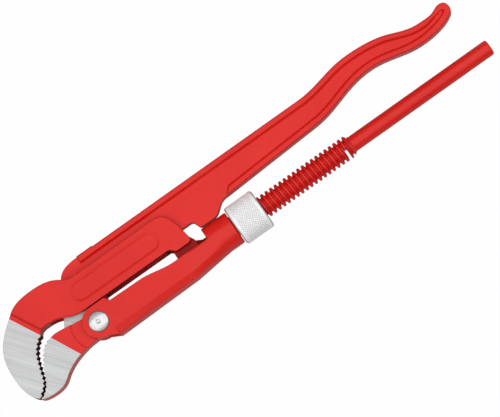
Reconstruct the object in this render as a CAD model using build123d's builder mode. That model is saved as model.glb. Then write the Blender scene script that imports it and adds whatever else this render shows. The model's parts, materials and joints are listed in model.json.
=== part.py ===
from build123d import *
import os
from math import cos, radians, sin, sqrt

# Pipe wrench of the Swedish pattern with S-shaped jaws, for half-inch pipe.
# The wrench lies flat: X runs along the tail rod to its end, Y points from the
# rod to the long handle, Z is up. The origin is under the middle of the whole
# wrench, in the plane that the adjusting nut rests on. All outlines are drawn
# about the pivot, in the middle plane of the wrench.

# Thread and tail rod of the hook leg
thread_diameter = 10.2
thread_depth = 1.35
thread_pitch = 2.345
thread_crest = 0.9
thread_length = 64.9
thread_fade = 2.4
thread_flank_run = 0.32
thread_sink = 0.3
groove_sink = 0.1
thread_lead = 3.92
rod_diameter = 7.15
rod_length = 71.2
rod_end_round = 1.0
kerf_width = 1.2
kerf_from_thread_end = 4.2

# Link with its collar
link_wall = 2.25
ear_radius = 7.05
ear_flat_end = 7.4
ear_step_run = 1.6
cheek_start_height = 4.7
cheek_waist_height = 2.2
cheek_waist_start = 41.0
channel_depth = 9.5
channel_crease = 5.7
channel_edge = 8.6
channel_edge_inset = 1.45
channel_taper = 0.65
cheek_fall_start = 23.5
cheek_fall_height = 4.45
collar_start = 57.6
collar_length = 12.4
collar_blend = 18.0
collar_round_length = 7.0
collar_corner_angle = 50
collar_chamfer = 0.4

# Pivot rivet
pivot_diameter = 6.0
rivet_head_diameter = 8.8
rivet_head_dome = 1.3
rivet_seat_depth = 0.5
rivet_dimple_diameter = 2.0
rivet_dimple_depth = 0.4

# Adjusting nut
nut_diameter = 18.4
nut_length = 14.0
nut_edge_round = 1.2
nut_mouth_margin = 0.25

# Main leg
rib_thickness = 9.4
web_thickness = 7.0
rib_face_width = 2.3
rib_slope_width = 1.0
pocket_tail_gap = 0.3
pocket_tail_rise = 0.4
pocket_slope = (0.3, -1)
pocket_bluntness = 0.4
pocket_overshoot = 1.5
rib_round = 0.8
rib_start = 7.9
rib_head_length = 8.2
rib_head_rise = 0.35
lower_rib_start = 74.6
handle_top = 28.2
handle_bend_start = 122.6
handle_crest_run = 27.5
handle_crest_rise = 3.8
handle_fall_run = 46.8
handle_fall_rise = 1.1
handle_valley_run = 61.8
handle_valley_drop = 2.95
handle_tail_run = 75.6
handle_tail_drop = 4.6
under_crest_run = 32.6
under_crest_drop = 6.85
under_low_run = 58.0
under_low_drop = 10.9
handle_web_bottom = 12.1
handle_depth_at_nut = 15.6
handle_depth_at_bend = 13.15
heel_start = 59.4
heel_length = 4.9
heel_rise_run = 4.0
nose_back = 3.1
nose_start = 24.2
neck_foot = 6.0
neck_front = 13.9
neck_back = 8.6
neck_fillet = 1.6
boss_radius = 6.6
jaw_land_radius = 12.3
jaw_thickness = 12.0
jaw_drop = 14.2
jaw_low_x = -32.0
jaw_root_top = 5.4
jaw_root_bottom = 5.7

# Hook leg
cheek_thickness = 2.6
cheek_top = 22.2
cheek_length = 51.0
hook_edge_round = 0.6
hook_crown = 27.45
hook_crown_x = -15.8
hook_dip_x = 2.6
hook_front_height = -0.3
hook_throat_start = -1.0
jaw_reach = 43.2
jaw_step_run = 1.0
slot_front = 17.5
foot_start = 44.0
foot_slant_run = 2.4
foot_heel_run = 1.1
foot_heel_rise = 1.2
foot_round = 2.0
rear_corner_run = 7.8
rear_corner_drop = 9.2
bridge_gap = 0.9
bridge_bevel = 2.0
shank_start = 42.6
shank_taper_start = 53.2
shank_taper_end = 55.8
jaw_slant = 27.6
jaw_step_offset = 14.6
panel_start = -2.4
panel_length = 42.7
panel_width = 7.0
panel_height = 15.15
panel_depth = 0.5
panel_bevel = 0.45
panel_slope_run = 1.1

# Teeth of both jaws
tooth_count = 13
tooth_height = 0.8
tooth_rake = 0.35

# Lines of the bite, through the middle of the teeth
upper_bite = [
    (-23.4, 9.9),
    (-27.2, 6.9),
    (-29.8, 3.3),
    (-31.3, -0.7),
    (-32.4, -3.8),
    (-33.9, -7.8),
    (-35.6, -9.7),
    (-39.0, -12.2),
]
lower_bite = [
    (-38.6, -12.9),
    (-34.6, -10.4),
    (-32.4, -7.3),
    (-30.6, -3.3),
    (-28.4, 0.3),
    (-25.4, 4.1),
    (-21.4, 6.0),
]

# Points that the curved outlines of the forgings pass through
lower_jaw_back = [(-19.4, 6.6), (-14.4, 6.4), (-9.0, 5.6)]
lower_jaw_belly = [(-14.4, -6.9), (-22.9, -10.6)]
hook_tip_side = (-42.3, -7.0)
hook_brow = [(-39.4, 14.8), (-30.7, 22.9)]
hook_nape = (-5.4, 25.4)
hook_throat = [(-8.4, 8.7), (-14.4, 11.1), (-18.6, 11.6)]

# Handle tip: steps along the handle from its end, and up from the middle of the tip
tip_neck = (-7.7, 2.0)
tip_crown = (-2.6, 3.4)
tip_chin = (-2.0, -3.1)
tip_belly = (-9.1, -5.6)

# Directions of the outline at the crown and the chin of the handle tip
crown_slope = (1, -0.15)
chin_slope = (-1, -0.6)

# Clearances and gaps
running_clearance = 0.06
rivet_clearance = 0.02
thread_clearance = 0.3
flank_clearance = 0.22
slot_clearance = 0.2
channel_clearance = 0.3
boss_clearance = 0.2
guide_gap = 0.35
nut_gap = 0.3

# Sizes that follow from the fits
thread_radius = thread_diameter / 2
root_radius = thread_radius - thread_depth
rod_radius = rod_diameter / 2
channel_half = thread_radius + channel_clearance
link_half = channel_half + link_wall
collar_radius = link_half
collar_end = collar_start + collar_length
pivot_radius = pivot_diameter / 2
boss_half = channel_half - boss_clearance
shank_half = channel_half - channel_clearance
rib_half = rib_thickness / 2
web_half = web_thickness / 2
slot_half = rib_half + slot_clearance
hook_half = slot_half + cheek_thickness
jaw_half = jaw_thickness / 2
nut_radius = nut_diameter / 2
nut_start = collar_end + nut_gap
thread_start = nut_start - thread_lead
thread_end = thread_start + thread_length
tail_end = thread_end + rod_length
cheek_bottom = ear_radius + guide_gap
foot_bottom = cheek_start_height + guide_gap
heel_bottom = collar_radius + guide_gap
handle_crest = handle_top + handle_crest_rise
bridge_top = handle_web_bottom - bridge_gap
edge_half = link_half - channel_edge_inset
blend_end = collar_end - collar_round_length
blend_start = blend_end - collar_blend

# Where the pivot lies in the frame of the finished wrench
pivot_x = (jaw_reach - tail_end) / 2
pivot_y = (jaw_drop - handle_crest) / 2
middle = Plane(origin=(pivot_x, pivot_y, nut_radius))


def across(x):
    """Plane square to the rod at x from the pivot, with local x along Y and local y along Z."""
    return Plane(origin=(pivot_x + x, pivot_y, nut_radius), x_dir=(0, 1, 0), z_dir=(1, 0, 0))


def along_rod():
    """Plane through the rod axis and Z, for shapes turned about the rod."""
    return Plane(origin=(pivot_x, pivot_y, nut_radius), x_dir=(1, 0, 0), z_dir=(0, -1, 0))


def rod_axis():
    """Axis of the rod, thread, collar and nut."""
    return Axis((pivot_x, pivot_y, nut_radius), (1, 0, 0))


def tooth_corners(guide, count, height):
    """Corners of saw teeth along a guide curve, with the tips to the left of its direction."""
    corners = [guide @ 0]
    for tooth in range(count):
        for share, side in ((tooth_rake, 0.5), (1.0, -0.5)):
            at = (tooth + share) / count
            tangent = guide % at
            corners.append(guide @ at + Vector(-tangent.Y, tangent.X) * (side * height))
    corners[-1] = guide @ 1
    return corners


def thread_width(radius):
    """Width of the thread ridge along the rod at a radius."""
    return thread_crest + 2 * thread_flank_run * (thread_radius - radius)


def thread_ridge(start, length, outer_radius, sink, clearance):
    """Right-hand thread ridge, sunk into the root of the spindle, with a clearance on each flank."""
    base = thread_width(root_radius - sink) + 2 * clearance
    crest = thread_width(outer_radius) + 2 * clearance
    height = outer_radius - root_radius
    with BuildPart() as ridge:
        with BuildLine() as turns:
            Helix(
                pitch=thread_pitch,
                height=length,
                radius=root_radius,
                center=(pivot_x + start, pivot_y, nut_radius),
                direction=(1, 0, 0),
            )
        with BuildSketch(Plane(origin=turns.line @ 0, x_dir=(1, 0, 0), z_dir=(0, -1, 0))):
            with BuildLine():
                Polyline(
                    (-base / 2, -sink),
                    (-crest / 2, height),
                    (crest / 2, height),
                    (base / 2, -sink),
                    close=True,
                )
            make_face()
        sweep(path=turns.line, is_frenet=True)
    return ridge.part


# Link: two ears at the pivot, a U-shaped channel and a closed collar
channel_start = sqrt((boss_radius + guide_gap) ** 2 - channel_half**2)


def collar_point(angle):
    """Point of the collar's outline, with the angle taken downwards from the side of the collar."""
    return (-collar_radius * sin(radians(angle)), collar_radius * cos(radians(angle)))


def channel_outline(top, drop):
    """Outline of the channel's section, with its sides up to top and its bottom lowered by drop."""
    edge = channel_edge + drop
    Polyline(
        (-edge, -edge_half),
        (-channel_crease, -link_half),
        (top, -link_half),
        (top, link_half),
        (-channel_crease, link_half),
        (-edge, edge_half),
    )
    ThreePointArc((-edge, edge_half), (-channel_depth - drop, 0), (-edge, -edge_half))


with BuildPart() as link:
    for x, drop in ((channel_start, channel_taper), (blend_start, 0)):
        with BuildSketch(across(x)):
            with BuildLine():
                channel_outline(ear_radius, drop)
            make_face()
    loft(ruled=True)
    # The flat cheeks run into the round collar
    with BuildSketch(across(blend_start)):
        with BuildLine():
            channel_outline(cheek_waist_height, 0)
        make_face()
    with BuildSketch(across(blend_end)):
        with BuildLine():
            top_side = sqrt(collar_radius**2 - cheek_waist_height**2)
            low_y, low_z = collar_point(collar_corner_angle)
            mid_y, mid_z = collar_point(collar_corner_angle / 2)
            up_y = cheek_waist_height / 2
            up_z = sqrt(collar_radius**2 - up_y**2)
            ThreePointArc((low_y, -low_z), (mid_y, -mid_z), (0, -collar_radius))
            ThreePointArc((0, -collar_radius), (up_y, -up_z), (cheek_waist_height, -top_side))
            Line((cheek_waist_height, -top_side), (cheek_waist_height, top_side))
            ThreePointArc((cheek_waist_height, top_side), (up_y, up_z), (0, collar_radius))
            ThreePointArc((0, collar_radius), (mid_y, mid_z), (low_y, low_z))
            ThreePointArc((low_y, low_z), (-collar_radius, 0), (low_y, -low_z))
        make_face()
    loft()
    with BuildSketch(across(collar_start)):
        Circle(collar_radius)
    extrude(amount=collar_length)
    collar_rim = link.edges().filter_by(GeomType.CIRCLE).sort_by(Axis.X)[-1]
    chamfer(collar_rim, length=collar_chamfer)
    # Ears at the pivot
    with BuildSketch(middle):
        Circle(ear_radius)
        with BuildLine():
            Polyline(
                (0, ear_radius),
                (channel_start, ear_radius),
                (channel_start, -channel_edge - channel_taper),
                (0, -ear_radius),
                close=True,
            )
        make_face()
    extrude(amount=link_half, both=True)
    # Upper edge of the cheeks, from the ears down to the collar
    with BuildSketch(middle):
        with BuildLine():
            step_end = ear_flat_end + ear_step_run
            Polyline(
                (collar_start, cheek_waist_height),
                (collar_start, 2 * ear_radius),
                (ear_flat_end, 2 * ear_radius),
                (ear_flat_end, ear_radius),
                (step_end, cheek_start_height),
                (cheek_fall_start, cheek_fall_height),
            )
            Spline(
                (cheek_fall_start, cheek_fall_height),
                (cheek_waist_start, cheek_waist_height),
                tangents=[(1, 0), (1, 0)],
            )
            Line((cheek_waist_start, cheek_waist_height), (collar_start, cheek_waist_height))
        make_face()
    extrude(amount=2 * link_half, both=True, mode=Mode.SUBTRACT)
    # Room for the spindle and the boss of the main leg
    with BuildSketch(across(-2 * ear_radius)):
        Circle(channel_half)
    extrude(amount=2 * ear_radius + collar_end, mode=Mode.SUBTRACT)
    with BuildSketch(middle):
        with BuildLine():
            Polyline(
                (-2 * ear_radius, 2 * ear_radius),
                (-2 * ear_radius, -2 * ear_radius),
                (channel_start, -2 * ear_radius),
                (channel_start, 0),
                (collar_start, 0),
                (collar_start, 2 * ear_radius),
                close=True,
            )
        make_face()
    extrude(amount=channel_half, both=True, mode=Mode.SUBTRACT)
    with BuildSketch(middle):
        Circle(boss_radius + guide_gap)
    extrude(amount=channel_half, both=True, mode=Mode.SUBTRACT)
    # Rivet hole with a shallow seat for each head
    with BuildSketch(middle):
        Circle(pivot_radius + rivet_clearance)
    extrude(amount=link_half, both=True, mode=Mode.SUBTRACT)
    for side in (1, -1):
        with BuildSketch(middle.offset(side * (link_half - rivet_seat_depth))):
            Circle(rivet_head_diameter / 2 + rivet_clearance)
        extrude(amount=side * rivet_seat_depth, mode=Mode.SUBTRACT)


# Pivot rivet: a shaft with a low domed head on each side
head_radius = rivet_head_diameter / 2
dimple_radius = rivet_dimple_diameter / 2
dome_radius = (head_radius**2 + rivet_head_dome**2) / (2 * rivet_head_dome)


def dome_height(radius):
    """Height of the rivet's dome above the middle plane at a distance from its axis."""
    return link_half + rivet_head_dome - dome_radius + sqrt(dome_radius**2 - radius**2)


with BuildPart() as pivot_rivet:
    with BuildSketch(along_rod()):
        with BuildLine():
            head_base = link_half - rivet_seat_depth
            half_way = (head_radius + dimple_radius) / 2
            Polyline(
                (0, 0),
                (pivot_radius, 0),
                (pivot_radius, head_base),
                (head_radius, head_base),
                (head_radius, link_half),
            )
            ThreePointArc(
                (head_radius, link_half),
                (half_way, dome_height(half_way)),
                (dimple_radius, dome_height(dimple_radius)),
            )
            Polyline(
                (dimple_radius, dome_height(dimple_radius)),
                (0, dome_height(dimple_radius) - rivet_dimple_depth),
                (0, 0),
            )
        make_face()
    revolve(axis=Axis((pivot_x, pivot_y, nut_radius), (0, 0, 1)))
    mirror(about=middle)


# Tap that cuts the internal thread of the nut, with a clearance all round the spindle's thread
bore_radius = root_radius + thread_clearance
tap_turns = int(nut_length / thread_pitch) + 4
tap_length = tap_turns * thread_pitch
tap_outer = thread_radius + thread_clearance

with BuildPart() as tap:
    with BuildSketch(across(thread_start - thread_pitch)):
        Circle(bore_radius)
    extrude(amount=tap_length + 2 * thread_pitch)
    add(thread_ridge(thread_start, tap_length, tap_outer, groove_sink, flank_clearance))


# Adjusting nut, with an internal thread that fits the spindle and a countersink at each end
nut_end = nut_start + nut_length
mouth_radius = tap_outer + nut_mouth_margin
mouth_depth = mouth_radius - bore_radius

with BuildPart() as adjusting_nut:
    with BuildSketch(across(nut_start)):
        Circle(nut_radius)
    extrude(amount=nut_length)
    fillet(adjusting_nut.edges().filter_by(GeomType.CIRCLE), radius=nut_edge_round)
    add(tap.part, mode=Mode.SUBTRACT)
    for end, inward in ((nut_start, 1), (nut_end, -1)):
        with BuildSketch(along_rod()):
            with BuildLine():
                Polyline(
                    (end, 0),
                    (end, mouth_radius),
                    (end + inward * mouth_depth, bore_radius),
                    (end + inward * mouth_depth, 0),
                    close=True,
                )
            make_face()
        revolve(axis=rod_axis(), mode=Mode.SUBTRACT)


def upper_edge(inset, start):
    """Upper edge of the handle from start to the valley before its tail; returns the valley."""
    top = handle_top - inset
    bend = (handle_bend_start, top)
    crest = (handle_bend_start + handle_crest_run, handle_crest - inset)
    valley = (handle_bend_start + handle_valley_run, top - handle_valley_drop)
    fall = (handle_bend_start + handle_fall_run, top + handle_fall_rise)
    Line((start, top), bend)
    Spline(bend, crest, tangents=[(1, 0), (1, 0)])
    Spline(crest, fall, valley, tangents=[(1, 0), (1, 0)])
    return Vector(*valley)


def lower_edge(inset, end):
    """Lower edge of the handle from its low point near the tail forward to end; returns both."""
    slope = (handle_depth_at_nut - handle_depth_at_bend) / (handle_bend_start - lower_rib_start)
    low = (handle_bend_start + under_low_run, handle_top - under_low_drop + inset)
    crest = (handle_bend_start + under_crest_run, handle_top - under_crest_drop + inset)
    bend = (handle_bend_start, handle_top - handle_depth_at_bend + inset)
    last = (end, bend[1] - slope * (handle_bend_start - end))
    Spline(low, crest, tangents=[(-1, 0), (-1, 0)])
    Spline(crest, bend, tangents=[(-1, 0), (-1, -slope)])
    Line(bend, last)
    return Vector(*low), Vector(*last)


def tail_end_point():
    """Foremost point of the handle's tail end."""
    return Vector(handle_bend_start + handle_tail_run, handle_top - handle_tail_drop)


def handle_outline(start, under_end):
    """Outer edge of the handle from its top at start, round the tail, to its underside at under_end."""
    valley = upper_edge(0, start)
    low, last = lower_edge(0, under_end)
    end = tail_end_point()
    crown = end + Vector(*tip_crown)
    chin = end + Vector(*tip_chin)
    Spline(valley, end + Vector(*tip_neck), crown, tangents=[(1, 0), crown_slope])
    Spline(crown, end, tangents=[crown_slope, (0, -1)])
    Spline(end, chin, tangents=[(0, -1), chin_slope])
    Spline(chin, end + Vector(*tip_belly), low, tangents=[chin_slope, (-1, 0)])
    return last


rib_base = rib_face_width + rib_slope_width
rib_height = rib_half - web_half


def pocket_outline(inset):
    """Closed outline of the pocket between the ribs, set in from the edge of the handle."""
    valley = upper_edge(inset, rib_start - rib_base)
    low, pocket_end = lower_edge(inset, lower_rib_start + rib_base)
    nose = tail_end_point() + Vector(-pocket_tail_gap - inset, pocket_tail_rise)
    Spline(valley, nose, tangents=[(1, 0), pocket_slope], tangent_scalars=[1, pocket_bluntness])
    Spline(nose, low, tangents=[pocket_slope, (-1, 0)], tangent_scalars=[pocket_bluntness, 1])
    Polyline(
        pocket_end,
        (lower_rib_start - rib_slope_width, handle_web_bottom - rib_slope_width),
        (rib_start - rib_base, handle_web_bottom - rib_slope_width),
        (rib_start - rib_base, handle_top - inset),
    )


# Pocket between the ribs of the handle, with sloping sides
with BuildPart() as rib_pocket:
    for rise in (0, pocket_overshoot):
        with BuildSketch(middle.offset(web_half + rise * rib_height)):
            with BuildLine():
                pocket_outline(rib_base - rise * rib_slope_width)
            make_face()
    loft(ruled=True)

with BuildPart() as main_leg:
    # Ribs of the I-section: the whole handle first, then a pocket on each side
    with BuildSketch(middle):
        with BuildLine():
            under_start = handle_outline(rib_start + rib_head_length, lower_rib_start)
            Polyline(
                under_start,
                (rib_start, handle_top - rib_base - rib_slope_width),
                (rib_start, handle_top + rib_head_rise),
                (rib_start + rib_head_length - rib_head_rise, handle_top + rib_head_rise),
                (rib_start + rib_head_length, handle_top),
            )
        make_face()
    extrude(amount=rib_half, both=True)
    fillet(main_leg.faces().filter_by(Axis.Z).edges(), radius=rib_round)
    add(rib_pocket.part, mode=Mode.SUBTRACT)
    mirror(rib_pocket.part, about=middle, mode=Mode.SUBTRACT)
    # Web from the pivot through the neck and nose to the tail, with the heel under it
    with BuildSketch(middle):
        with BuildLine():
            heel_end = heel_start + heel_length
            web_end = handle_outline(rib_start, lower_rib_start)
            Spline(web_end, (heel_end, heel_bottom), tangents=[(-1, 0), (-1, 0)])
            Line((heel_end, heel_bottom), (heel_start, heel_bottom))
            Spline(
                (heel_start, heel_bottom),
                (heel_start - heel_rise_run, handle_web_bottom),
                tangents=[(-1, 0), (-1, 0)],
            )
            FilletPolyline(
                (heel_start - heel_rise_run, handle_web_bottom),
                (neck_back, handle_web_bottom),
                (neck_back, 0),
                radius=neck_fillet,
            )
            Polyline((neck_back, 0), (0, 0), (-neck_front, neck_foot), (-nose_back, nose_start))
            Spline(
                (-nose_back, nose_start),
                (rib_start, handle_top),
                tangents=[(neck_front - nose_back, nose_start - neck_foot), (1, 0)],
            )
        make_face()
    extrude(amount=web_half, both=True)
    # Lower jaw with its saw teeth
    with BuildSketch(middle):
        with BuildLine():
            guide = Spline(*lower_bite, mode=Mode.PRIVATE)
            corners = tooth_corners(guide, tooth_count, tooth_height)
            Polyline(*corners)
            jaw_low = (jaw_low_x, -jaw_drop)
            Spline(corners[-1], *lower_jaw_back, (0, jaw_root_top))
            Line((0, jaw_root_top), (0, -jaw_root_bottom))
            Spline((0, -jaw_root_bottom), *lower_jaw_belly, jaw_low, tangents=[(-1, 0), (-1, 0)])
            Spline(jaw_low, corners[0], tangents=[(-1, 0), (-1, 0.6)])
        make_face()
    extrude(amount=jaw_half, both=True)
    for side in (1, -1):
        with BuildSketch(middle.offset(side * boss_half)):
            Circle(jaw_land_radius)
        extrude(amount=side * jaw_thickness, mode=Mode.SUBTRACT)
    with BuildSketch(middle):
        Circle(boss_radius)
    extrude(amount=boss_half, both=True)
    with BuildSketch(middle):
        Circle(pivot_radius + running_clearance)
    extrude(amount=boss_half, both=True, mode=Mode.SUBTRACT)


# Spindle: shank, thread that fades out at the rod, and plain tail rod
with BuildPart() as spindle:
    with BuildSketch(across(shank_taper_end)):
        Circle(root_radius)
    extrude(amount=thread_end + thread_pitch - shank_taper_end)
    add(thread_ridge(thread_start, thread_length, thread_radius, thread_sink, 0))
    # Everything outside the fade is turned away
    fade_top = thread_radius + thread_pitch
    fade_end = thread_end + 2 * thread_pitch
    with BuildSketch(along_rod()):
        with BuildLine():
            Polyline(
                (thread_end - thread_fade, fade_top),
                (thread_end - thread_fade, thread_radius + thread_sink),
                (thread_end, rod_radius - thread_sink),
                (fade_end, rod_radius - thread_sink),
                (fade_end, fade_top),
                close=True,
            )
        make_face()
    revolve(axis=rod_axis(), mode=Mode.SUBTRACT)
    with BuildSketch(along_rod()):
        with BuildLine():
            Polyline(
                (tail_end, 0),
                (thread_end - thread_fade, 0),
                (thread_end - thread_fade, rod_radius),
                (tail_end - rod_end_round, rod_radius),
            )
            rim = (tail_end, rod_radius - rod_end_round)
            RadiusArc((tail_end - rod_end_round, rod_radius), rim, rod_end_round)
            Line(rim, (tail_end, 0))
        make_face()
    revolve(axis=rod_axis())
    with BuildSketch(along_rod()):
        with BuildLine():
            Polyline(
                (shank_start, 0),
                (shank_start, shank_half),
                (shank_taper_start, shank_half),
                (shank_taper_end, root_radius),
                (shank_taper_end, 0),
                close=True,
            )
        make_face()
    revolve(axis=rod_axis())
    # Saw cut across the last threads, which stops the nut
    kerf_x = thread_end - kerf_from_thread_end
    kerf_side = kerf_width / 2
    with BuildSketch(middle):
        with BuildLine():
            Polyline(
                (kerf_x - kerf_side, -kerf_side),
                (kerf_x - kerf_side, -thread_diameter),
                (kerf_x + kerf_side, -thread_diameter),
                (kerf_x + kerf_side, -kerf_side),
            )
            ThreePointArc((kerf_x + kerf_side, -kerf_side), (kerf_x, 0), (kerf_x - kerf_side, -kerf_side))
        make_face()
    extrude(amount=thread_diameter, both=True, mode=Mode.SUBTRACT)


with BuildPart() as hook_leg:
    # Jaw, cheeks and foot in one outline
    with BuildSketch(middle):
        with BuildLine():
            guide = Spline(*upper_bite, mode=Mode.PRIVATE)
            corners = tooth_corners(guide, tooth_count, tooth_height)
            Polyline(*corners)
            foremost = (-jaw_reach, hook_front_height)
            crown = (hook_crown_x, hook_crown)
            dip = (hook_dip_x, cheek_top)
            rear_top = (cheek_length - rear_corner_run, cheek_top)
            rear_side = (cheek_length, cheek_top - rear_corner_drop)
            foot_heel = (cheek_length + foot_heel_run, foot_bottom + foot_heel_rise)
            throat_start = (hook_throat_start, cheek_bottom)
            Spline(corners[-1], hook_tip_side, foremost, tangents=[(-1, 0.6), (0, 1)])
            Spline(foremost, *hook_brow, crown, tangents=[(0, 1), (1, 0)])
            Spline(crown, hook_nape, dip, tangents=[(1, 0), (1, 0)])
            Line(dip, rear_top)
            Spline(rear_top, rear_side, tangents=[(1, 0), (0.25, -1)])
            Line(rear_side, foot_heel)
            FilletPolyline(
                foot_heel,
                (cheek_length, foot_bottom),
                (foot_start, foot_bottom),
                (foot_start - foot_slant_run, cheek_bottom),
                throat_start,
                radius=foot_round,
            )
            Spline(throat_start, *hook_throat, corners[0], tangents=[(-1, 0), (-0.5, -1)])
        make_face()
    extrude(amount=hook_half, both=True)
    # The jaw is thinner than the body, with a slanting step between them
    slant = Vector(cos(radians(jaw_slant)), sin(radians(jaw_slant)), 0)
    step_origin = middle.origin - slant * jaw_step_offset
    step_plane = Plane(origin=step_origin, x_dir=slant, z_dir=Vector(slant.Y, -slant.X, 0))
    for side in (1, -1):
        with BuildSketch(step_plane):
            with BuildLine():
                Polyline(
                    (-jaw_reach, side * jaw_half),
                    (0, side * jaw_half),
                    (jaw_step_run, side * hook_half),
                    (-jaw_reach, side * hook_half),
                    close=True,
                )
            make_face()
        extrude(amount=jaw_reach, both=True, mode=Mode.SUBTRACT)
    broad_faces = hook_leg.faces().filter_by(Axis.Z).group_by(Axis.Z)
    fillet(broad_faces[0].edges() + broad_faces[-1].edges(), radius=hook_edge_round)
    # Sunken panel with a bevelled rim on the outside of each cheek
    for side in (1, -1):
        with BuildSketch(middle.offset(side * (hook_half - panel_depth))):
            with Locations((panel_start + panel_length / 2, panel_height)):
                SlotOverall(panel_length, panel_width)
        extrude(amount=side * panel_depth, mode=Mode.SUBTRACT)
        levels = hook_leg.edges(Select.LAST).group_by(Axis.Z)
        panel_rim = levels[-1] if side > 0 else levels[0]
        cheek_face = hook_leg.faces().sort_by(Axis.Z)[-1 if side > 0 else 0]
        chamfer(panel_rim, length=panel_slope_run, length2=panel_bevel, reference=cheek_face)
    # Slot for the main leg, open above and below, with a bridge between the cheeks at the foot
    slot_round_x = -slot_front + slot_half
    with BuildSketch(middle):
        with BuildLine():
            Polyline(
                (slot_round_x, 0),
                (foot_start, 0),
                (foot_start, bridge_top - bridge_bevel),
                (foot_start + bridge_bevel, bridge_top),
                (cheek_length + bridge_bevel, bridge_top),
                (cheek_length + bridge_bevel, 2 * cheek_top),
                (slot_round_x, 2 * cheek_top),
                close=True,
            )
        make_face()
    extrude(amount=slot_half, both=True, mode=Mode.SUBTRACT)
    with BuildSketch(Plane(origin=middle.origin, x_dir=(1, 0, 0), z_dir=(0, 1, 0))):
        with Locations((slot_round_x, 0)):
            Circle(slot_half)
    extrude(amount=2 * cheek_top, mode=Mode.SUBTRACT)
    # Block that joins the bridge to the spindle
    with BuildSketch(middle):
        with BuildLine():
            Polyline(
                (shank_start, 0),
                (shank_taper_start, 0),
                (shank_taper_start, shank_half),
                (cheek_length, bridge_top - bridge_bevel),
                (shank_start, bridge_top - bridge_bevel),
                close=True,
            )
        make_face()
    extrude(amount=shank_half, both=True)
    add(spindle.part)


os.makedirs("parts", exist_ok=True)
link.part.label = "link"
export_step(link.part, "parts/link.step")
pivot_rivet.part.label = "pivot_rivet"
export_step(pivot_rivet.part, "parts/pivot_rivet.step")
adjusting_nut.part.label = "adjusting_nut"
export_step(adjusting_nut.part, "parts/adjusting_nut.step")
main_leg.part.label = "main_leg"
export_step(main_leg.part, "parts/main_leg.step")
hook_leg.part.label = "hook_leg"
export_step(hook_leg.part, "parts/hook_leg.step")
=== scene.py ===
import json
from math import cos, pi, radians, sin
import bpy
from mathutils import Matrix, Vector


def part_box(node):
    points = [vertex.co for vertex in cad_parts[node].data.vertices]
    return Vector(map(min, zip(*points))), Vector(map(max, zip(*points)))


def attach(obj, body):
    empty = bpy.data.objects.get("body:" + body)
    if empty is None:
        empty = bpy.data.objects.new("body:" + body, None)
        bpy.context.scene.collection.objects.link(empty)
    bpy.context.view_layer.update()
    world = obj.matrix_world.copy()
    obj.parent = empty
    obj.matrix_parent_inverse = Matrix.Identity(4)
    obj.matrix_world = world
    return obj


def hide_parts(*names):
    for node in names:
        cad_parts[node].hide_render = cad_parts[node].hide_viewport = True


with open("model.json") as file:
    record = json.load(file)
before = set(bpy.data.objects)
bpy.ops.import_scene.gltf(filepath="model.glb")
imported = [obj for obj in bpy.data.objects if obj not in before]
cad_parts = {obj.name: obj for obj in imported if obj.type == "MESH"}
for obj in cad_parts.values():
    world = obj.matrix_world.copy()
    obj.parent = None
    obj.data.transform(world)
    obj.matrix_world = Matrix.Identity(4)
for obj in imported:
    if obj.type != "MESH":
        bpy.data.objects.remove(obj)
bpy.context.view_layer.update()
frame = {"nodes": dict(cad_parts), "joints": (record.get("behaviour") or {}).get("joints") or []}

from types import SimpleNamespace

import bmesh
import bpy
from bpy.props import FloatProperty, FloatVectorProperty, IntProperty, PointerProperty
from mathutils import Matrix, Vector

bl_info = {
    "name": "Swedish-pattern pipe wrench",
    "version": (1, 0, 0),
    "blender": (4, 5, 0),
    "location": "3D View > Sidebar > Wrench",
    "description": "Dresses the packed pipe wrench: red coat, ground jaws, knurled nut and stage",
    "category": "Object",
}

PIVOT = Vector(next(joint["pos_m"] for joint in frame["joints"] if joint["name"] == "leg_pivot"))
MM = 0.001

# Edges of the ground jaw sides: the direction across the edge, and its distance in mm from the pivot
MAIN_GROUND_ACROSS = (0.897, 0.4416, 0)
MAIN_GROUND_EDGE = -15.6
HOOK_GROUND_ACROSS = (0.886, 0.464, 0)
HOOK_GROUND_EDGE = -16.35
GROUND_EDGE_SOFT = 0.06

# Directions out of the teeth of the two jaws
MAIN_BITE = (-0.74, 0.67, 0)
HOOK_BITE = (0.74, -0.67, 0)

# Bands of a finish or of painted shade, in mm from the pivot: first edge, second edge, and half the
# width of the soft edges
NECK_BARE_BAND = (5.35, 15.5, 0.08)
# Bands of painted shade: under the hook's cheeks, on its block inside the link, and round the rivet's
# dimple
CHEEK_BAND = (-3.0, 58.0, 0.8)
BLOCK_BAND = (40.0, 57.0, 0.5)
RIVET_RING_BAND = (0.75, 1.05, 0.12)

# Edges of a finish or of painted shade, in mm from the pivot: where the change begins, and where it is
# complete
JAW_SIDE = (5.90, 5.97)
NECK_BARE_BACK = (5.4, 5.6)
NECK_SIDE = (3.65, 3.75)
# Edges of painted shade: under the hook's cheeks, on its block, inside the link's channel, and on the
# rivet's rim
CHEEK_UNDERSIDE = (10.5, 11.5)
BLOCK_SIDE = (5.20, 5.30)
BLOCK_TOP = (11.0, 11.4)
COLLAR_FRONT = (57.4, 57.6)
CHANNEL_INSIDE = (5.45, 5.60)
RIVET_EDGE = (3.95, 4.25)

# Shares of a normal along a direction, from where a face no longer counts to where it fully does
TOOTH_FACING = (-0.30, -0.20)
# Downward faces under the hook's cheeks, which get painted shade
UNDER_FACING = (0.45, 0.75)

# Noise values between which a pattern goes from its first to its second look
EVEN_SPREAD = (0.35, 0.65)
WIDE_SPREAD = (0.3, 0.7)
STREAK_SPREAD = (0.38, 0.62)
SCUFF_SPREAD = (0.45, 0.65)


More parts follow.
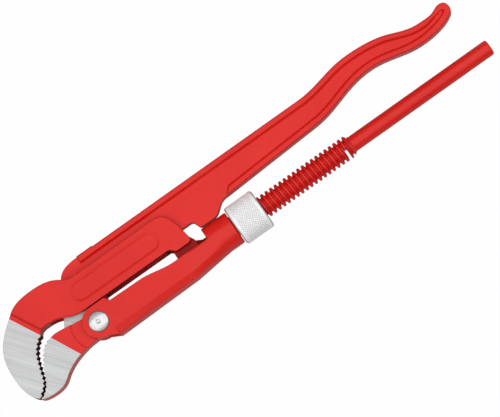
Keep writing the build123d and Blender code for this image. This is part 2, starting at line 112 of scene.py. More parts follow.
class CoatProperties(bpy.types.PropertyGroup):
    """Red powder coat of the forgings."""

    red: FloatVectorProperty(
        name="Red",
        description="Colour of the coat",
        subtype="COLOR",
        default=(0.71, 0.014, 0.008),
        min=0,
        max=1,
    )
    deep_red: FloatVectorProperty(
        name="Deep red",
        description="Colour of the coat where it lies a little thicker",
        subtype="COLOR",
        default=(0.66, 0.010, 0.006),
        min=0,
        max=1,
    )
    # Painted shade: this dark colour stands in for the shade in the narrow slots, under the hook's
    # cheeks and inside the link's channel
    recess_shade: FloatVectorProperty(
        name="Recesses",
        description="Colour of the coat in the narrow slots, where it is dark with grease",
        subtype="COLOR",
        default=(0.10, 0.002, 0.002),
        min=0,
        max=1,
    )
    gloss_roughness: FloatProperty(
        name="Roughness",
        description="Mean roughness of the coat",
        subtype="FACTOR",
        default=0.34,
        min=0,
        max=1,
    )
    roughness_swing: FloatProperty(
        name="Roughness swing",
        description="How far the coat's roughness strays from its mean",
        subtype="FACTOR",
        default=0.05,
        min=0,
        max=0.3,
    )
    gloss_level: FloatProperty(
        name="Gloss level",
        description="Strength of the coat's reflections",
        subtype="FACTOR",
        default=0.45,
        min=0,
        max=1,
    )
    # Reflections are weakened where the shade is painted, so that the painted shade stays dark
    recess_gloss: FloatProperty(
        name="Recess gloss",
        description="Strength of the reflections in the greased slots",
        subtype="FACTOR",
        default=0.05,
        min=0,
        max=1,
    )
    # Share of painted shade on the hook leg's block inside the link, where shade falls
    block_shade: FloatProperty(
        name="Block grease",
        description="Share of grease on the block of the hook leg inside the link",
        subtype="FACTOR",
        default=0.7,
        min=0,
        max=1,
    )
    peel_size: FloatProperty(
        name="Peel size",
        description="Size of the waves in the coat's surface",
        unit="LENGTH",
        default=0.0011,
        min=0.0001,
    )
    peel_height: FloatProperty(
        name="Peel height",
        description="Height of the waves in the coat's surface",
        unit="LENGTH",
        default=0.000012,
        min=0,
    )
    edge_round: FloatProperty(
        name="Edge round",
        description="Radius that the coat gives to sharp edges",
        unit="LENGTH",
        default=0.0005,
        min=0,
    )


class SteelProperties(bpy.types.PropertyGroup):
    """Bare steel of the jaws, the neck and the rivet."""

    ground: FloatVectorProperty(
        name="Ground steel",
        description="Colour of the ground sides of the jaws",
        subtype="COLOR",
        default=(0.66, 0.663, 0.666),
        min=0,
        max=1,
    )
    streak: FloatVectorProperty(
        name="Grinding streaks",
        description="Colour of the darker streaks left by the grinding belt",
        subtype="COLOR",
        default=(0.52, 0.523, 0.526),
        min=0,
        max=1,
    )
    streak_angle: FloatProperty(
        name="Streak angle",
        description="Direction of the grinding streaks, from the X axis",
        subtype="ANGLE",
        default=radians(-52),
    )
    fine_streaks: FloatProperty(
        name="Fine streaks",
        description="Share of the fine streaks in the ground pattern; the rest is broad bands",
        subtype="FACTOR",
        default=0.8,
        min=0,
        max=1,
    )
    ground_mirror: FloatProperty(
        name="Ground mirror",
        description="Share of the ground steel that mirrors; its fine scratches scatter the rest",
        subtype="FACTOR",
        default=0.45,
        min=0,
        max=1,
    )
    # The teeth's colour is partly the dark of hardened steel and partly painted shade of the narrow gap
    # between the jaws
    tooth: FloatVectorProperty(
        name="Teeth",
        description="Colour of the hardened teeth",
        subtype="COLOR",
        default=(0.17, 0.050, 0.042),
        min=0,
        max=1,
    )
    tooth_roughness: FloatProperty(
        name="Tooth roughness",
        description="Roughness of the hardened teeth",
        subtype="FACTOR",
        default=0.95,
        min=0,
        max=1,
    )
    rivet: FloatVectorProperty(
        name="Rivet",
        description="Colour of the polished rivet heads",
        subtype="COLOR",
        default=(0.90, 0.90, 0.91),
        min=0,
        max=1,
    )
    rivet_mirror: FloatProperty(
        name="Rivet mirror",
        description="Share of the rivet's steel that mirrors",
        subtype="FACTOR",
        default=0.6,
        min=0,
        max=1,
    )
    ring_height: FloatProperty(
        name="Ring height",
        description="Height of the faint rings that the riveting tool leaves",
        unit="LENGTH",
        default=0.000002,
        min=0,
    )


class NutProperties(bpy.types.PropertyGroup):
    """Knurled adjusting nut."""

    zinc: FloatVectorProperty(
        name="Zinc",
        description="Colour of the bright zinc plating",
        subtype="COLOR",
        default=(0.98, 0.98, 0.985),
        min=0,
        max=1,
    )
    zinc_mirror: FloatProperty(
        name="Zinc mirror",
        description="Share of the plating that mirrors",
        subtype="FACTOR",
        default=0.1,
        min=0,
        max=1,
    )
    knurls: IntProperty(
        name="Knurls",
        description="Number of diamonds round the nut",
        default=48,
        min=12,
        max=96,
    )
    knurl_rows: IntProperty(
        name="Knurl rows",
        description="Number of half diamonds along the nut",
        default=20,
        min=4,
        max=60,
    )
    knurl_depth: FloatProperty(
        name="Knurl depth",
        description="Depth of the grooves between the diamonds",
        unit="LENGTH",
        default=0.00022,
        min=0,
    )
    corner_round: FloatProperty(
        name="Corner round",
        description="Radius of the rounded rims",
        unit="LENGTH",
        default=0.0012,
        min=0.0002,
    )
    corner_steps: IntProperty(
        name="Corner steps",
        description="Number of facets across a rounded rim",
        default=5,
        min=1,
        max=16,
    )
    bore_radius: FloatProperty(
        name="Bore",
        description="Radius of the bore, clear of the crests of the spindle's thread",
        unit="LENGTH",
        default=0.0054,
        min=0.001,
    )
    bore_chamfer: FloatProperty(
        name="Bore chamfer",
        description="Chamfer at both mouths of the bore",
        unit="LENGTH",
        default=0.00025,
        min=0,
    )
    edge_round: FloatProperty(
        name="Edge round",
        description="Radius that the plating gives to the edges of the diamonds",
        unit="LENGTH",
        default=0.00008,
        min=0,
    )
    grain_height: FloatProperty(
        name="Grain height",
        description="Height of the fine grain in the plating",
        unit="LENGTH",
        default=0.000002,
        min=0,
    )


class StageProperties(bpy.types.PropertyGroup):
    """Floor, lamps and camera."""

    floor_size: FloatProperty(
        name="Floor",
        description="Side of the floor",
        unit="LENGTH",
        default=8.0,
        min=1,
    )
    floor_gap: FloatProperty(
        name="Floor gap",
        description="Room between the floor and the lowest point of the wrench",
        unit="LENGTH",
        default=0.0003,
        min=0,
    )
    floor_grey: FloatVectorProperty(
        name="Floor colour",
        description="Colour of the floor as it lights the wrench and takes its shadow",
        subtype="COLOR",
        default=(0.38, 0.38, 0.38),
        min=0,
        max=1,
    )
    floor_white: FloatProperty(
        name="Floor white",
        description="Share of plain white in the floor that the camera sees; the rest keeps the shadow",
        subtype="FACTOR",
        default=0.985,
        min=0,
        max=1,
    )
    floor_mirrored: FloatProperty(
        name="Floor in reflections",
        description="Share of plain white in the floor that the coat and the steel mirror",
        subtype="FACTOR",
        default=0.15,
        min=0,
        max=1,
    )
    fill: FloatProperty(
        name="Fill light",
        description="Strength of the even light from all round",
        default=0.30,
        min=0,
    )
    lamp_size: FloatProperty(
        name="Lamp size",
        description="Side of the large soft lamp above the wrench",
        unit="LENGTH",
        default=4.6,
        min=0.1,
    )
    lamp_height: FloatProperty(
        name="Lamp height",
        description="Height of the large soft lamp",
        unit="LENGTH",
        default=2.3,
        min=0.3,
    )
    lamp_power: FloatProperty(
        name="Lamp power",
        description="Power of the large soft lamp",
        unit="POWER",
        default=84.0,
        min=0,
    )
    flag_width: FloatProperty(
        name="Flag width",
        description="Width of the dark cards beside the wrench",
        unit="LENGTH",
        default=3.2,
        min=0.1,
    )
    flag_height: FloatProperty(
        name="Flag height",
        description="Height of the dark cards beside the wrench",
        unit="LENGTH",
        default=0.8,
        min=0.1,
    )
    flag_distance: FloatProperty(
        name="Flag distance",
        description="Distance of the dark cards from the middle of the wrench",
        unit="LENGTH",
        default=0.6,
        min=0.2,
    )
    flag_grey: FloatVectorProperty(
        name="Flag colour",
        description="Colour of the dark cards beside the wrench",
        subtype="COLOR",
        default=(0.10, 0.10, 0.10),
        min=0,
        max=1,
    )
    camera_tilt: FloatProperty(
        name="Camera tilt",
        description="Lean of the camera from straight above, towards the rod's side",
        subtype="ANGLE",
        default=radians(6.7),
    )
    camera_roll: FloatProperty(
        name="Camera roll",
        description="Angle of the rod above the picture's lower edge",
        subtype="ANGLE",
        default=radians(35.31),
    )
    camera_distance: FloatProperty(
        name="Camera distance",
        description="Distance from the camera to the middle of the picture",
        unit="LENGTH",
        default=2.0,
        min=0.3,
    )
    camera_reach: FloatProperty(
        name="Camera reach",
        description="Distance beyond which the camera sees nothing",
        unit="LENGTH",
        default=50.0,
        min=1,
    )
    picture_width: FloatProperty(
        name="Picture width",
        description="Width that the camera sees at the wrench",
        unit="LENGTH",
        default=0.212,
        min=0.05,
    )
    target: FloatVectorProperty(
        name="Target",
        description="Point of the wrench's middle plane at the middle of the picture",
        subtype="XYZ",
        unit="LENGTH",
        default=(0.00016, -0.00605, 0.0092),
    )


def wire(tree, source, socket):
    """Links a socket to a source, or sets it to a plain value."""
    if isinstance(source, bpy.types.NodeSocket):
        tree.links.new(source, socket)
    else:
        socket.default_value = source


def math_node(tree, operation, first, second=0.0):
    """Output of a Math node."""
    made = tree.nodes.new("ShaderNodeMath")
    made.operation = operation
    wire(tree, first, made.inputs[0])
    wire(tree, second, made.inputs[1])
    return made.outputs[0]


def product(tree, *factors):
    """Product of several numbers."""
    result = factors[0]
    for factor in factors[1:]:
        result = math_node(tree, "MULTIPLY", result, factor)
    return result


def diagonal(tree, first, second):
    """Length of the diagonal over two lengths at right angles."""
    squares = math_node(tree, "ADD", product(tree, first, first), product(tree, second, second))
    return math_node(tree, "SQRT", squares)


def ramp_node(tree, value, low, high, start=0.0, end=1.0):
    """A value mapped from low..high to start..end, held at both ends."""
    made = tree.nodes.new("ShaderNodeMapRange")
    wire(tree, value, made.inputs["Value"])
    made.inputs["From Min"].default_value = low
    made.inputs["From Max"].default_value = high
    made.inputs["To Min"].default_value = start
    made.inputs["To Max"].default_value = end
    return made.outputs["Result"]


def fade_node(tree, value, low, high):
    """One up to low, falling to nothing at high."""
    return ramp_node(tree, value, low, high, 1.0, 0.0)


def band_node(tree, value, low, high, soft):
    """One between low and high, with soft edges."""
    rise = ramp_node(tree, value, low - soft, low + soft)
    return product(tree, rise, fade_node(tree, value, high - soft, high + soft))


def shade(colour, share=1.0):
    """A colour at a share of its brightness, with its alpha."""
    return (*(share * part for part in colour), 1)


def mix_colours(tree, factor, first, second):
    """Mix of two colours by a factor."""
    made = tree.nodes.new("ShaderNodeMix")
    made.data_type = "RGBA"
    wire(tree, factor, made.inputs[0])
    wire(tree, first, made.inputs[6])
    wire(tree, second, made.inputs[7])
    return made.outputs[2]


def mix_values(tree, factor, first, second):
    """Mix of two numbers by a factor."""
    made = tree.nodes.new("ShaderNodeMix")
    made.data_type = "FLOAT"
    wire(tree, factor, made.inputs[0])
    wire(tree, first, made.inputs[2])
    wire(tree, second, made.inputs[3])
    return made.outputs[0]


def noise_node(tree, place, scale, detail=2.0, roughness=0.5):
    """Fac of a Noise texture."""
    made = tree.nodes.new("ShaderNodeTexNoise")
    wire(tree, place, made.inputs["Vector"])
    made.inputs["Scale"].default_value = scale
    made.inputs["Detail"].default_value = detail
    made.inputs["Roughness"].default_value = roughness
    return made.outputs["Fac"]


def mapping_node(tree, place, turn=(0, 0, 0), scale=(1, 1, 1)):
    """Coordinates turned and stretched by a Mapping node."""
    made = tree.nodes.new("ShaderNodeMapping")
    wire(tree, place, made.inputs["Vector"])
    made.inputs["Rotation"].default_value = turn
    made.inputs["Scale"].default_value = scale
    return made.outputs["Vector"]


def bump_node(tree, height, distance, normal=None):
    """Normal bent by a height, given in metres for a height of one."""
    made = tree.nodes.new("ShaderNodeBump")
    made.inputs["Distance"].default_value = distance
    wire(tree, height, made.inputs["Height"])
    if normal is not None:
        tree.links.new(normal, made.inputs["Normal"])
    return made.outputs["Normal"]


def bevel_node(tree, radius):
    """Normal that rounds sharp edges."""
    made = tree.nodes.new("ShaderNodeBevel")
    made.samples = 6
    made.inputs["Radius"].default_value = radius
    return made.outputs["Normal"]


def split_node(tree, vector):
    """X, Y and Z of a vector."""
    made = tree.nodes.new("ShaderNodeSeparateXYZ")
    tree.links.new(vector, made.inputs[0])
    return made.outputs["X"], made.outputs["Y"], made.outputs["Z"]


def dot_node(tree, vector, direction):
    """Distance of a vector along a direction."""
    made = tree.nodes.new("ShaderNodeVectorMath")
    made.operation = "DOT_PRODUCT"
    tree.links.new(vector, made.inputs[0])
    made.inputs[1].default_value = direction
    return made.outputs["Value"]


def new_material(name):
    """A fresh material with its node tree and its Principled shader."""
    made = bpy.data.materials.new(name)
    made.use_nodes = True
    return made, made.node_tree, made.node_tree.nodes["Principled BSDF"]


def wear_material(obj, material):
    """Gives an object one material all over."""
    obj.data.materials.clear()
    obj.data.materials.append(material)


def coordinates(tree):
    """Outputs of a Texture Coordinate node."""
    return tree.nodes.new("ShaderNodeTexCoord").outputs


def from_pivot(tree, place):
    """Object coordinates from the pivot, in millimetres."""
    moved = tree.nodes.new("ShaderNodeVectorMath")
    moved.operation = "SUBTRACT"
    tree.links.new(place["Object"], moved.inputs[0])
    moved.inputs[1].default_value = PIVOT
    scaled = tree.nodes.new("ShaderNodeVectorMath")
    scaled.operation = "SCALE"
    tree.links.new(moved.outputs[0], scaled.inputs[0])
    scaled.inputs["Scale"].default_value = 1 / MM
    return scaled.outputs[0]


def coat_layers(tree, place, coat):
    """Colour, roughness and normal of the red powder coat."""
    cloud = noise_node(tree, place["Object"], scale=35.0)
    thick = ramp_node(tree, cloud, *EVEN_SPREAD)
    colour = mix_colours(tree, thick, shade(coat.red), shade(coat.deep_red))
    grain = noise_node(tree, place["Object"], scale=420.0, detail=3.0, roughness=0.6)
    smooth = coat.gloss_roughness - coat.roughness_swing
    rough = coat.gloss_roughness + coat.roughness_swing
    roughness = ramp_node(tree, grain, *WIDE_SPREAD, smooth, rough)
    peel = noise_node(tree, place["Object"], scale=1 / coat.peel_size, detail=1.5, roughness=0.4)
    normal = bump_node(tree, peel, coat.peel_height, bevel_node(tree, coat.edge_round))
    return colour, roughness, normal


def ground_layers(tree, place, steel):
    """Colour and roughness of steel ground on a belt, with long fine streaks."""
    turned = mapping_node(tree, place["Object"], turn=(0, 0, -steel.streak_angle))
    along_streaks = mapping_node(tree, turned, scale=(26, 2300, 26))
    streaks = noise_node(tree, along_streaks, scale=1.0, detail=3.0, roughness=0.65)
    along_bands = mapping_node(tree, turned, scale=(12, 260, 12))
    bands = noise_node(tree, along_bands, scale=1.0)
    mixed = math_node(
        tree,
        "ADD",
        product(tree, streaks, steel.fine_streaks),
        product(tree, bands, 1 - steel.fine_streaks),
    )
    bright = ramp_node(tree, mixed, *STREAK_SPREAD)
    colour = mix_colours(tree, bright, shade(steel.streak), shade(steel.ground))
    roughness = ramp_node(tree, mixed, *EVEN_SPREAD, start=0.50, end=0.36)
    return colour, roughness


def jaw_masks(tree, place, spot, across, edge, bite):
    """Masks of the ground side faces of a jaw and of its teeth.

    across and edge give the edge of the ground area, and bite points out of the teeth.
    """
    reach = dot_node(tree, spot, across)
    ahead = fade_node(tree, reach, edge - GROUND_EDGE_SOFT, edge + GROUND_EDGE_SOFT)
    depth = math_node(tree, "ABSOLUTE", split_node(tree, spot)[2])
    side_face = ramp_node(tree, depth, *JAW_SIDE)
    ground = product(tree, ahead, side_face)
    facing = ramp_node(tree, dot_node(tree, place["Normal"], bite), *TOOTH_FACING)
    teeth = product(tree, ahead, math_node(tree, "SUBTRACT", 1.0, side_face), facing)
    return ground, teeth


def bare_neck_mask(tree, spot):
    """Mask of the bare patch on the neck of the main leg, where the hook leg slides."""
    x, y, z = split_node(tree, spot)
    return product(
        tree,
        band_node(tree, y, *NECK_BARE_BAND),
        fade_node(tree, x, *NECK_BARE_BACK),
        fade_node(tree, math_node(tree, "ABSOLUTE", z), *NECK_SIDE),
    )


def painted_shade_mask(tree, place, spot, coat):
    """Mask of the painted shade on the hook leg: under its cheeks and on its block inside the link."""
    x, y, z = split_node(tree, spot)
    below = product(
        tree,
        ramp_node(tree, dot_node(tree, place["Normal"], (0, -1, 0)), *UNDER_FACING),
        band_node(tree, x, *CHEEK_BAND),
        fade_node(tree, y, *CHEEK_UNDERSIDE),
    )
    block = product(
        tree,
        fade_node(tree, math_node(tree, "ABSOLUTE", z), *BLOCK_SIDE),
        band_node(tree, x, *BLOCK_BAND),
        fade_node(tree, y, *BLOCK_TOP),
        coat.block_shade,
    )
    return math_node(tree, "MAXIMUM", below, block)


def finish_jawed_leg(name, across, edge, bite, bare_neck):
    """Material of a leg: red coat, ground jaw sides, dark teeth partly painted as shade, and a bare
    neck or painted shade in the slots.
    """
    coat = bpy.context.scene.wrench_coat
    steel = bpy.context.scene.wrench_steel
    material, tree, shader = new_material(name)
    place = coordinates(tree)
    spot = from_pivot(tree, place)
    bare, teeth = jaw_masks(tree, place, spot, across, edge, bite)
    coat_colour, coat_roughness, normal = coat_layers(tree, place, coat)
    steel_colour, steel_roughness = ground_layers(tree, place, steel)
    gloss = coat.gloss_level
    if bare_neck:
        bare = math_node(tree, "MAXIMUM", bare, bare_neck_mask(tree, spot))
    else:
        # Painted shade under the cheeks and on the block inside the link, with weaker reflections there
        painted_shade = painted_shade_mask(tree, place, spot, coat)
        coat_colour = mix_colours(tree, painted_shade, coat_colour, shade(coat.recess_shade))
        gloss = mix_values(tree, painted_shade, coat.gloss_level, coat.recess_gloss)
    colour = mix_colours(tree, bare, coat_colour, steel_colour)
    # Teeth: dark hardened steel, darkened further as painted shade of the gap between the jaws
    colour = mix_colours(tree, teeth, colour, shade(steel.tooth))
    roughness = mix_values(tree, bare, coat_roughness, steel_roughness)
    roughness = mix_values(tree, teeth, roughness, steel.tooth_roughness)
    tree.links.new(colour, shader.inputs["Base Color"])
    tree.links.new(roughness, shader.inputs["Roughness"])
    tree.links.new(product(tree, bare, steel.ground_mirror), shader.inputs["Metallic"])
    tree.links.new(normal, shader.inputs["Normal"])
    wire(tree, gloss, shader.inputs["Specular IOR Level"])
    return material


class WRENCH_OT_main_leg(bpy.types.Operator):
    """Coats the main leg and grinds the sides of its jaw"""

    bl_idname = "wrench.main_leg"
    bl_label = "Main leg"
    bl_options = {"REGISTER", "UNDO"}

    def execute(self, context):
        material = finish_jawed_leg(
            "main_leg_finish", MAIN_GROUND_ACROSS, MAIN_GROUND_EDGE, MAIN_BITE, bare_neck=True
        )
        wear_material(frame["nodes"]["main_leg"], material)
        return {"FINISHED"}


class WRENCH_OT_hook_leg(bpy.types.Operator):
    """Coats the hook leg and grinds the sides of its jaw"""

    bl_idname = "wrench.hook_leg"
    bl_label = "Hook leg"
    bl_options = {"REGISTER", "UNDO"}

    def execute(self, context):
        material = finish_jawed_leg(
            "hook_leg_finish", HOOK_GROUND_ACROSS, HOOK_GROUND_EDGE, HOOK_BITE, bare_neck=False
        )
        wear_material(frame["nodes"]["hook_leg"], material)
        return {"FINISHED"}


class WRENCH_OT_link(bpy.types.Operator):
    """Coats the link, with shade painted dark inside its channel"""

    bl_idname = "wrench.link"
    bl_label = "Link"
    bl_options = {"REGISTER", "UNDO"}

    def execute(self, context):
        coat = context.scene.wrench_coat
        material, tree, shader = new_material("link_finish")
        place = coordinates(tree)
        colour, roughness, normal = coat_layers(tree, place, coat)
        # Painted shade inside the channel: the channel is open above the pivot's height, and the collar
        # is closed all round
        x, y, z = split_node(tree, from_pivot(tree, place))
        in_collar = ramp_node(tree, x, *COLLAR_FRONT)
        open_top = math_node(tree, "MINIMUM", y, 0.0)
        reach = diagonal(tree, mix_values(tree, in_collar, open_top, y), z)
        inside = fade_node(tree, reach, *CHANNEL_INSIDE)
        colour = mix_colours(tree, inside, colour, shade(coat.recess_shade))
        tree.links.new(colour, shader.inputs["Base Color"])
        tree.links.new(roughness, shader.inputs["Roughness"])
        tree.links.new(normal, shader.inputs["Normal"])
        shader.inputs["Specular IOR Level"].default_value = coat.gloss_level
        wear_material(frame["nodes"]["link"], material)
        return {"FINISHED"}


class WRENCH_OT_pivot_rivet(bpy.types.Operator):
    """Polishes the rivet, with faint rings left by the riveting tool, and painted shade on the rim of
    the head and round its dimple
    """

    bl_idname = "wrench.pivot_rivet"
    bl_label = "Pivot rivet"
    bl_options = {"REGISTER", "UNDO"}

    def execute(self, context):
        steel = context.scene.wrench_steel
        dull = shade(steel.rivet, 0.86)
        painted_rim_shade = shade(steel.rivet, 0.22)
        painted_dimple_shade = shade(steel.rivet, 0.55)
        material, tree, shader = new_material("rivet_finish")
        spot = from_pivot(tree, coordinates(tree))
        x, y, _ = split_node(tree, spot)
        reach = diagonal(tree, x, y)
        scuff = noise_node(tree, spot, scale=0.45)
        colour = mix_colours(tree, ramp_node(tree, scuff, *SCUFF_SPREAD), shade(steel.rivet), dull)
        # Painted shade on the rim of the head
        colour = mix_colours(tree, ramp_node(tree, reach, *RIVET_EDGE), colour, painted_rim_shade)
        # Painted shade ring round the dimple in the middle of the head
        colour = mix_colours(tree, band_node(tree, reach, *RIVET_RING_BAND), colour, painted_dimple_shade)
        roughness = ramp_node(tree, scuff, *WIDE_SPREAD, start=0.22, end=0.32)
        rings = noise_node(tree, reach, scale=3.0)
        tree.links.new(colour, shader.inputs["Base Color"])
        tree.links.new(roughness, shader.inputs["Roughness"])
        tree.links.new(bump_node(tree, rings, steel.ring_height), shader.inputs["Normal"])
        shader.inputs["Metallic"].default_value = steel.rivet_mirror
        wear_material(frame["nodes"]["pivot_rivet"], material)
        return {"FINISHED"}


def select_in_edit(mesh_object, kind, test):
    """Selects the vertices or edges of the mesh in edit mode that pass a test."""
    bpy.ops.mesh.select_mode(type=kind)
    bpy.ops.mesh.select_all(action="DESELECT")
    shape = bmesh.from_edit_mesh(mesh_object.data)
    group = {"VERT": shape.verts, "EDGE": shape.edges}[kind]
    for part in group:
        if test(part):
            part.select_set(True)
    bmesh.update_edit_mesh(mesh_object.data)


class WRENCH_OT_adjusting_nut(bpy.types.Operator):
    """Models the adjusting nut with its diamond knurl and plates it"""

    bl_idname = "wrench.adjusting_nut"
    bl_label = "Adjusting nut"
    bl_options = {"REGISTER", "UNDO"}

    def execute(self, context):
        nut = context.scene.wrench_nut
        size = self.measure(nut)
        shell = self.add_shell(context, nut, size)
        bpy.ops.object.mode_set(mode="EDIT")
        self.cut_knurl(shell, nut, size)
        self.turn_rims(shell, nut, size)
        self.close_bore(shell)
        bpy.ops.object.mode_set(mode="OBJECT")
        facets = shell.modifiers.new("facets", "TRIANGULATE")
        facets.quad_method = "SHORTEST_DIAGONAL"
        bpy.ops.object.modifier_apply(modifier="facets")
        bpy.ops.object.shade_smooth_by_angle(angle=radians(25))
        wear_material(shell, self.plate(nut, size))
        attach(shell, "nut")
        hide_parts("adjusting_nut")
        return {"FINISHED"}

    def measure(self, nut):
        """Middle and lengths of the nut, from its box in the frame."""
        low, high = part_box("adjusting_nut")
        half_length = (high[0] - low[0]) / 2
        knurl_half = half_length - nut.corner_round
        return SimpleNamespace(
            centre=(Vector(low) + Vector(high)) / 2,
            radius=(high[2] - low[2]) / 2,
            half_length=half_length,
            knurl_half=knurl_half,
            row=2 * knurl_half / nut.knurl_rows,
        )

    def add_shell(self, context, nut, size):
        """Open cylinder as long as the knurl, with two points round it for each diamond."""
        bpy.ops.object.select_all(action="DESELECT")
        bpy.ops.mesh.primitive_cylinder_add(
            vertices=2 * nut.knurls,
            radius=size.radius,
            depth=2 * size.knurl_half,
            end_fill_type="NOTHING",
            location=size.centre,
            rotation=(0, pi / 2, 0),
        )
        shell = context.active_object
        shell.name = "knurled_nut"
        bpy.ops.object.transform_apply(location=True, rotation=True, scale=True)
        return shell

    def cut_knurl(self, shell, nut, size):
        """Rows of points along the shell, of which those in the grooves are sunk."""

        def runs_along(edge):
            """True for the long edges from end to end."""
            return abs(edge.verts[0].co.x - edge.verts[1].co.x) > size.row

        def in_groove(vert):
            """True where grooves of the two directions cross, on every second point of a row."""
            out = vert.co - size.centre
            row = round((out.x + size.knurl_half) / size.row)
            turn = Vector((out.y, out.z)).angle_signed(Vector((1, 0)))
            step = round(turn / (pi / nut.knurls))
            return 0 < row < nut.knurl_rows and (row + step) % 2 == 1

        select_in_edit(shell, "EDGE", runs_along)
        bpy.ops.mesh.subdivide(number_cuts=nut.knurl_rows - 1)
        select_in_edit(shell, "VERT", in_groove)
        shrink = 1 - nut.knurl_depth / size.radius
        bpy.ops.transform.resize(value=(1, shrink, shrink), center_override=size.centre)

    def select_end(self, shell, end_x, slack):
        """Selects the edges round one end of the knurl."""

        def at_end(edge):
            """True where both ends of an edge lie in the plane of the knurl's end."""
            return all(abs(vert.co.x - end_x) < slack for vert in edge.verts)

        select_in_edit(shell, "EDGE", at_end)

    def turn_rims(self, shell, nut, size):
        """Rounded rims, end faces and chamfered mouths of the bore, drawn out ring by ring."""
        rings = []
        for step in range(1, nut.corner_steps + 1):
            angle = step * pi / 2 / nut.corner_steps
            rings.append(
                (
                    size.knurl_half + nut.corner_round * sin(angle),
                    size.radius - nut.corner_round * (1 - cos(angle)),
                )
            )
        rings.append((size.half_length, nut.bore_radius + nut.bore_chamfer))
        rings.append((size.half_length - nut.bore_chamfer, nut.bore_radius))
        for side in (-1, 1):
            self.select_end(shell, size.centre.x + side * size.knurl_half, size.row / 4)
            last_x, last_radius = size.knurl_half, size.radius
            for ring_x, ring_radius in rings:
                draw = (side * (ring_x - last_x), 0, 0)
                share = ring_radius / last_radius
                bpy.ops.mesh.extrude_edges_move(TRANSFORM_OT_translate={"value": draw})
                bpy.ops.transform.resize(value=(1, share, share), center_override=size.centre)
                last_x, last_radius = ring_x, ring_radius

    def close_bore(self, shell):
        """Wall of the bore between its two mouths, on a closed and clean mesh."""
        select_in_edit(shell, "EDGE", lambda edge: edge.is_boundary)
        bpy.ops.mesh.bridge_edge_loops()
        bpy.ops.mesh.select_all(action="SELECT")
        bpy.ops.mesh.remove_doubles(threshold=MM / 1000)
        bpy.ops.mesh.normals_make_consistent(inside=False)

    def plate(self, nut, size):
        """Material of the nut: bright zinc, with painted shade in the grooves and on the rims."""
        dull = shade(nut.zinc, 0.97)
        painted_groove_shade = shade(nut.zinc, 0.66)
        painted_nut_rim_shade = shade(nut.zinc, 0.42)
        material, tree, shader = new_material("nut_finish")
        place = coordinates(tree)["Object"]
        haze = noise_node(tree, place, scale=160.0, detail=3.0)
        colour = mix_colours(tree, ramp_node(tree, haze, *EVEN_SPREAD), shade(nut.zinc), dull)
        x, y, z = split_node(tree, place)
        along = math_node(tree, "ABSOLUTE", math_node(tree, "SUBTRACT", x, size.centre.x))
        side = math_node(tree, "SUBTRACT", y, size.centre.y)
        rise = math_node(tree, "SUBTRACT", z, size.centre.z)
        # Painted shade in the knurl's grooves, fading out near the rims
        groove_floor = size.radius - 0.98 * nut.knurl_depth
        groove_brink = size.radius - 0.62 * nut.knurl_depth
        groove = product(
            tree,
            fade_node(tree, diagonal(tree, side, rise), groove_floor, groove_brink),
            fade_node(tree, along, size.knurl_half - size.row, size.knurl_half - 0.6 * size.row),
        )
        colour = mix_colours(tree, groove, colour, painted_groove_shade)
        # Painted shade on the rounded rims
        rim_start = size.half_length - 0.7 * nut.corner_round
        rim_full = size.half_length - 0.1 * nut.corner_round
        colour = mix_colours(tree, ramp_node(tree, along, rim_start, rim_full), colour, painted_nut_rim_shade)
        roughness = ramp_node(tree, haze, *WIDE_SPREAD, start=0.34, end=0.42)
        grain = noise_node(tree, place, scale=2600.0)
        normal = bump_node(tree, grain, nut.grain_height, bevel_node(tree, nut.edge_round))
        tree.links.new(colour, shader.inputs["Base Color"])
        tree.links.new(roughness, shader.inputs["Roughness"])
        tree.links.new(normal, shader.inputs["Normal"])
        shader.inputs["Metallic"].default_value = nut.zinc_mirror
        return material


def seen_white(tree, mirrored=1.0):
    """White for camera and transmission rays, and the share of white that reflections show."""
    path = tree.nodes.new("ShaderNodeLightPath").outputs
    seen = math_node(tree, "MAXIMUM", path["Is Camera Ray"], path["Is Transmission Ray"])
    return math_node(tree, "MAXIMUM", seen, product(tree, path["Is Glossy Ray"], mirrored))


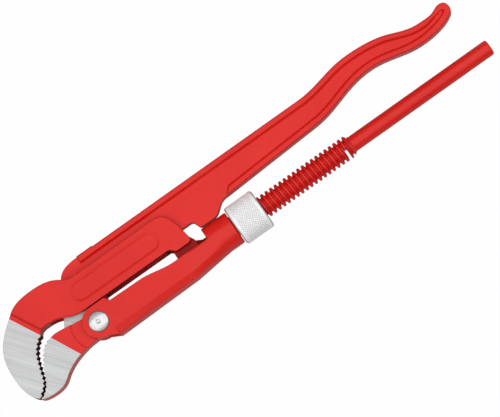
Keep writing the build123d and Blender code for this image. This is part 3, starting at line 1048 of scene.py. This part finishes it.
class WRENCH_OT_stage(bpy.types.Operator):
    """Sets the pale floor, the soft studio light and the camera"""

    bl_idname = "wrench.stage"
    bl_label = "Stage"
    bl_options = {"REGISTER", "UNDO"}

    def execute(self, context):
        stage = context.scene.wrench_stage
        self.lay_floor(context, stage)
        self.light(context, stage)
        self.hang_flags(context, stage)
        self.set_camera(context, stage)
        context.scene.view_settings.view_transform = "Standard"
        return {"FINISHED"}

    def lay_floor(self, context, stage):
        """Grey floor that shows white to the camera and keeps a soft shadow."""
        bpy.ops.object.select_all(action="DESELECT")
        bpy.ops.mesh.primitive_plane_add(size=stage.floor_size, location=(0, 0, -stage.floor_gap))
        floor = context.active_object
        floor.name = "floor"
        material, tree, shader = new_material("floor_white")
        shader.inputs["Base Color"].default_value = shade(stage.floor_grey)
        shader.inputs["Roughness"].default_value = 0.9
        glow = tree.nodes.new("ShaderNodeEmission")
        glow.inputs["Strength"].default_value = 1.0
        white = product(tree, seen_white(tree, stage.floor_mirrored), stage.floor_white)
        blend = tree.nodes.new("ShaderNodeMixShader")
        tree.links.new(white, blend.inputs[0])
        tree.links.new(shader.outputs[0], blend.inputs[1])
        tree.links.new(glow.outputs[0], blend.inputs[2])
        tree.links.new(blend.outputs[0], tree.nodes["Material Output"].inputs["Surface"])
        wear_material(floor, material)

    def light(self, context, stage):
        """Even light from all round and one large soft lamp."""
        world = bpy.data.worlds.new("studio")
        context.scene.world = world
        world.use_nodes = True
        tree = world.node_tree
        back = tree.nodes["Background"]
        back.inputs["Color"].default_value = (1, 1, 1, 1)
        strength = mix_values(tree, seen_white(tree), stage.fill, 1.0)
        tree.links.new(strength, back.inputs["Strength"])
        bpy.ops.object.light_add(type="AREA", location=(0, 0, stage.lamp_height))
        lamp = context.active_object
        lamp.name = "soft_lamp"
        lamp.data.energy = stage.lamp_power
        lamp.data.size = stage.lamp_size
        lamp.visible_glossy = False

    def hang_flags(self, context, stage):
        """Dark cards on both long sides, seen in reflections only, which shape the round parts."""
        material, _, shader = new_material("flag_grey")
        shader.inputs["Base Color"].default_value = shade(stage.flag_grey)
        shader.inputs["Roughness"].default_value = 1.0
        for side, name in ((1, "handle_flag"), (-1, "rod_flag")):
            bpy.ops.object.select_all(action="DESELECT")
            bpy.ops.mesh.primitive_plane_add(
                size=stage.flag_width,
                location=(0, side * stage.flag_distance, stage.flag_height / 2),
                rotation=(pi / 2, 0, 0),
            )
            flag = context.active_object
            flag.name = name
            low = stage.flag_height / stage.flag_width
            bpy.ops.object.mode_set(mode="EDIT")
            bpy.ops.mesh.select_all(action="SELECT")
            bpy.ops.transform.resize(value=(1, 1, low), center_override=flag.location)
            bpy.ops.object.mode_set(mode="OBJECT")
            bpy.ops.object.transform_apply(location=True, rotation=True, scale=True)
            wear_material(flag, material)
            flag.visible_camera = False
            flag.visible_diffuse = False
            flag.visible_shadow = False

    def set_camera(self, context, stage):
        """Camera above the wrench, turned so that the rod rises to the right."""
        data = bpy.data.cameras.new("camera")
        camera = bpy.data.objects.new("camera", data)
        context.collection.objects.link(camera)
        along = Vector((1, 0, 0))
        over = Vector((0, cos(stage.camera_tilt), sin(stage.camera_tilt)))
        towards = Vector((0, -sin(stage.camera_tilt), cos(stage.camera_tilt)))
        right = along * cos(stage.camera_roll) - over * sin(stage.camera_roll)
        up = along * sin(stage.camera_roll) + over * cos(stage.camera_roll)
        turn = Matrix((right, up, towards)).transposed().to_4x4()
        place = Vector(stage.target) + towards * stage.camera_distance
        camera.matrix_world = Matrix.Translation(place) @ turn
        data.sensor_fit = "HORIZONTAL"
        data.lens = data.sensor_width * stage.camera_distance / stage.picture_width
        data.clip_end = stage.camera_reach
        context.scene.camera = camera


class WRENCH_PT_sidebar(bpy.types.Panel):
    """Lists the pieces of the wrench and their settings"""

    bl_label = "Pipe wrench"
    bl_idname = "WRENCH_PT_sidebar"
    bl_space_type = "VIEW_3D"
    bl_region_type = "UI"
    bl_category = "Wrench"

    def draw(self, context):
        for operator in PIECES:
            self.layout.operator(operator.bl_idname)
        for group in GROUPS:
            settings = getattr(context.scene, group)
            box = self.layout.box()
            box.label(text=settings.bl_rna.description)
            for name in settings.__annotations__:
                box.prop(settings, name)


PIECES = (
    WRENCH_OT_main_leg,
    WRENCH_OT_hook_leg,
    WRENCH_OT_link,
    WRENCH_OT_pivot_rivet,
    WRENCH_OT_adjusting_nut,
    WRENCH_OT_stage,
)
GROUPS = {
    "wrench_coat": CoatProperties,
    "wrench_steel": SteelProperties,
    "wrench_nut": NutProperties,
    "wrench_stage": StageProperties,
}


def register():
    """Registers the settings, the operators and the panel."""
    for name, group in GROUPS.items():
        bpy.utils.register_class(group)
        setattr(bpy.types.Scene, name, PointerProperty(type=group))
    for operator in PIECES:
        bpy.utils.register_class(operator)
    bpy.utils.register_class(WRENCH_PT_sidebar)


def unregister():
    """Takes the panel, the operators and the settings away again."""
    bpy.utils.unregister_class(WRENCH_PT_sidebar)
    for operator in reversed(PIECES):
        bpy.utils.unregister_class(operator)
    for name, group in GROUPS.items():
        delattr(bpy.types.Scene, name)
        bpy.utils.unregister_class(group)


def main():
    """Dresses the whole wrench."""
    register()
    bpy.ops.wrench.main_leg()
    bpy.ops.wrench.hook_leg()
    bpy.ops.wrench.link()
    bpy.ops.wrench.pivot_rivet()
    bpy.ops.wrench.adjusting_nut()
    bpy.ops.wrench.stage()


if __name__ == "__main__":
    main()
